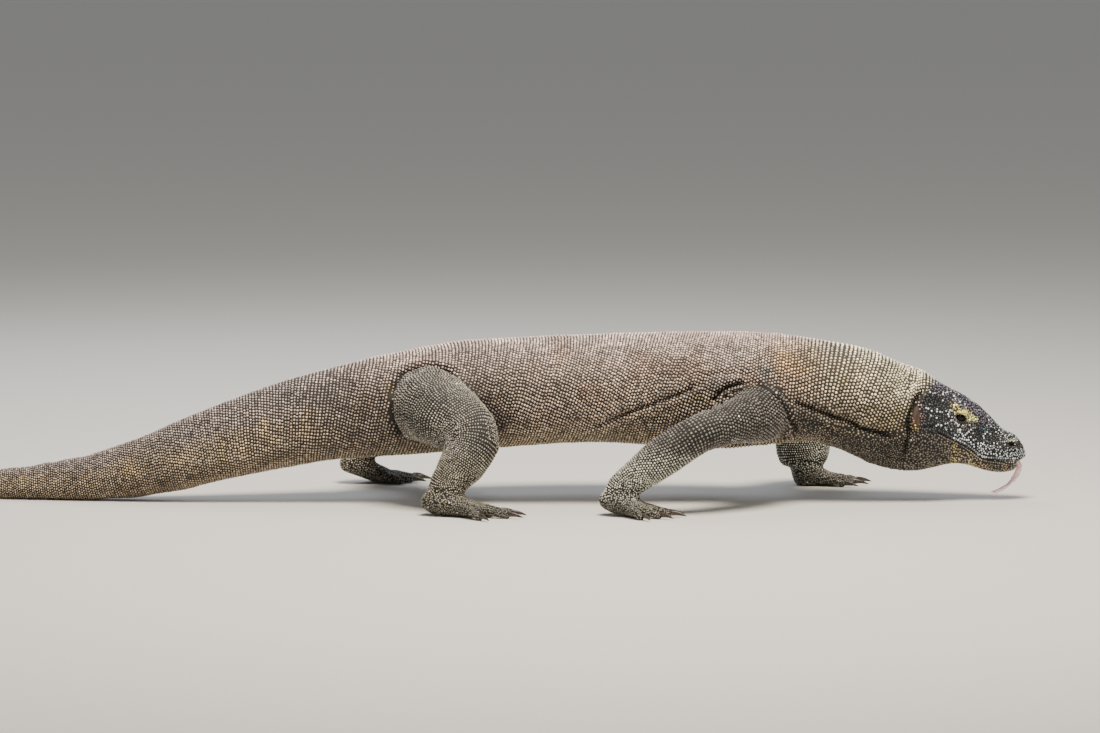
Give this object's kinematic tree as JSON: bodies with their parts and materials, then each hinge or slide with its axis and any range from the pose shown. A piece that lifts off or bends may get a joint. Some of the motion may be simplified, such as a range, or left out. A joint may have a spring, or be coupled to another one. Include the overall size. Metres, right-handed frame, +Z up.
{
  "type": "komodo dragon",
  "caption": "Life-size walking Komodo dragon: bulky body, long tapering tail, sprawled clawed legs, forked tongue hanging from the lips.",
  "frame": {"origin": "the middle of the animal's box on the floor", "axes": "+X towards the snout, +Y to the animal's left, +Z up"},
  "size_m": [2.4974, 0.7064, 0.3201],
  "materials": {
    "head_hide": "fine plate-like scales, charcoal speckled with pale grey",
    "body_hide": "beaded scales, dusty grey-brown over dark gaps",
    "leg_hide": "beaded scales, dark grey",
    "claw_horn": "polished dark horn",
    "eye_surface": "wet and clear",
    "tongue_flesh": "wet pale pink flesh"
  },
  "bodies": {
    "root": {"eye_left": "eye_surface", "eye_right": "eye_surface", "foreleg_left_claw_1": "claw_horn", "foreleg_left_claw_2": "claw_horn", "foreleg_left_claw_3": "claw_horn", "foreleg_left_claw_4": "claw_horn", "foreleg_left_claw_5": "claw_horn", "foreleg_left_foot": "leg_hide", "foreleg_left_lower": "leg_hide", "foreleg_left_upper": "leg_hide", "foreleg_right_claw_1": "claw_horn", "foreleg_right_claw_2": "claw_horn", "foreleg_right_claw_3": "claw_horn", "foreleg_right_claw_4": "claw_horn", "foreleg_right_claw_5": "claw_horn", "foreleg_right_foot": "leg_hide", "foreleg_right_lower": "leg_hide", "foreleg_right_upper": "leg_hide", "head": "head_hide", "hindleg_left_claw_1": "claw_horn", "hindleg_left_claw_2": "claw_horn", "hindleg_left_claw_3": "claw_horn", "hindleg_left_claw_4": "claw_horn", "hindleg_left_claw_5": "claw_horn", "hindleg_left_foot": "leg_hide", "hindleg_left_lower": "leg_hide", "hindleg_left_upper": "leg_hide", "hindleg_right_claw_1": "claw_horn", "hindleg_right_claw_2": "claw_horn", "hindleg_right_claw_3": "claw_horn", "hindleg_right_claw_4": "claw_horn", "hindleg_right_claw_5": "claw_horn", "hindleg_right_foot": "leg_hide", "hindleg_right_lower": "leg_hide", "hindleg_right_upper": "leg_hide", "lower_jaw": "head_hide", "neck": "body_hide", "tail_1": "body_hide", "tail_2": "body_hide", "tail_3": "body_hide", "tail_4": "body_hide", "tongue": "tongue_flesh", "trunk_front": "body_hide", "trunk_rear": "body_hide"}
  },
  "joints": []
}
